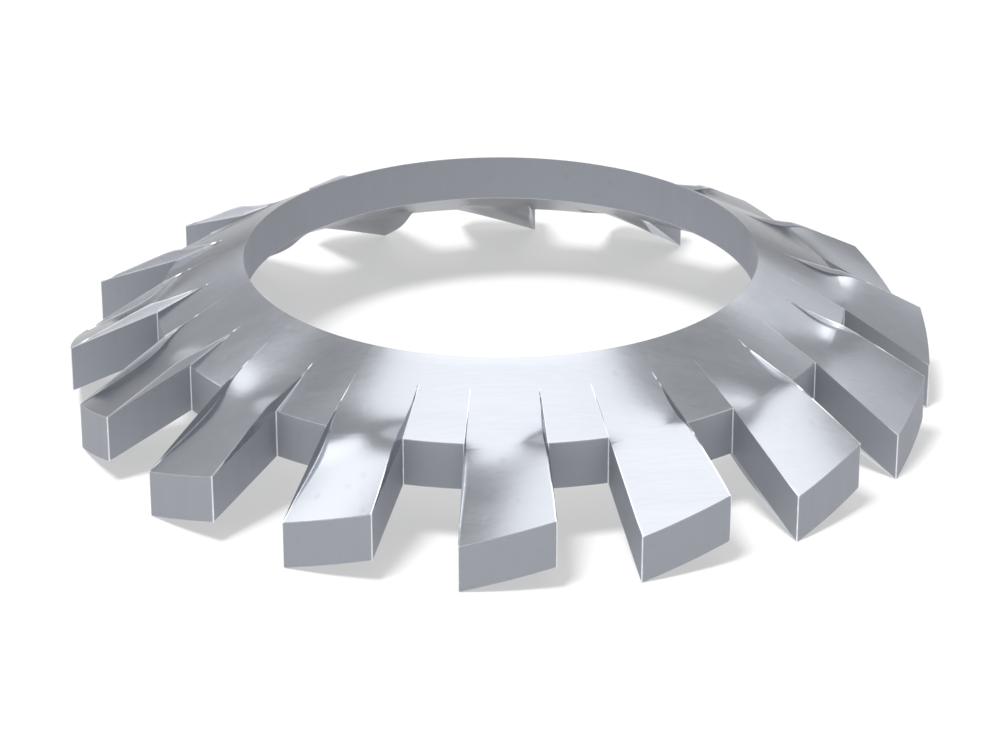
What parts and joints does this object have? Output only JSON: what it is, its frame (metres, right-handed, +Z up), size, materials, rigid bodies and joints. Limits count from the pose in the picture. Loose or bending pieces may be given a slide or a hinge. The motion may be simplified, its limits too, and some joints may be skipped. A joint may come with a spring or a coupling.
{
  "type": "toothed lock washer",
  "caption": "Dished external-tooth lock washer: a conical ring with short twisted teeth round its outer edge and a plain round bore, for use under a countersunk head.",
  "frame": {"origin": "on the bore's axis, at the height of the lowest tooth corners that it stands on", "axes": "+Z up along the bore's axis, towards the narrow end of the cone; one tooth is centred on -Y"},
  "size_m": [0.0112, 0.0112, 0.002],
  "materials": {
    "steel": "bright satin spring steel, clean and dry"
  },
  "bodies": {
    "root": {"lock_washer": "steel"}
  },
  "joints": []
}
